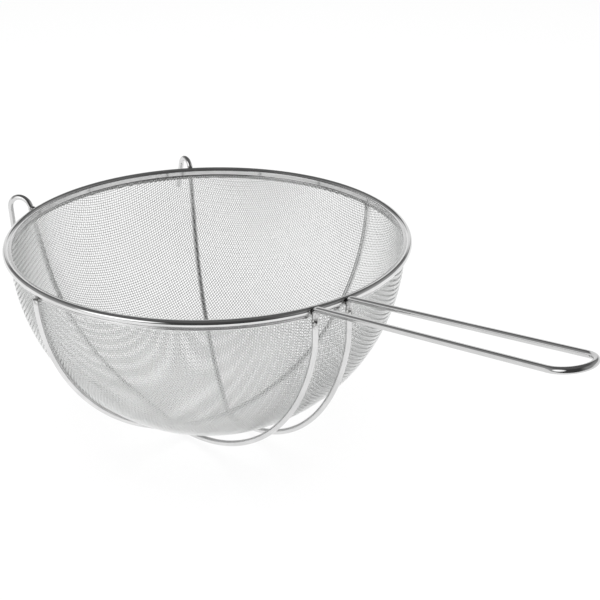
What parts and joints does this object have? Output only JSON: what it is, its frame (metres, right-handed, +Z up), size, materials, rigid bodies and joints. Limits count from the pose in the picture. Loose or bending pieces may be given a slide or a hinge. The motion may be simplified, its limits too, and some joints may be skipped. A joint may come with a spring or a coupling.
{
  "type": "mesh strainer",
  "caption": "Round-bottomed wire mesh strainer with a rolled rim, a long wire loop handle, bent support ribs and hooks that rest on a pot.",
  "frame": {"origin": "centre of the rim bead's circle, in the plane of the wire in the bead", "axes": "+X points from the bowl's centre along the handle, +Z points up out of the bowl's mouth, +Y to the right-hand rib"},
  "size_m": [0.5006, 0.28, 0.1941],
  "materials": {
    "mesh_wire": "fine plain-weave stainless wire cloth, bright",
    "polished_steel": "rolled and polished stainless strip",
    "drawn_wire": "drawn and electropolished stainless wire, satin to bright",
    "weld_metal": "resistance weld, slightly darkened"
  },
  "bodies": {
    "root": {"mesh_bowl": "mesh_wire", "rim_band": "polished_steel", "rim_core_wire": "drawn_wire", "handle_loop": "drawn_wire", "support_rib_left": "drawn_wire", "support_rib_right": "drawn_wire", "cross_rib": "drawn_wire", "handle_welds": "weld_metal", "hook_welds": "weld_metal", "crossing_welds": "weld_metal", "cross_rib_welds": "weld_metal", "rib_seam_welds": "weld_metal"}
  },
  "joints": []
}
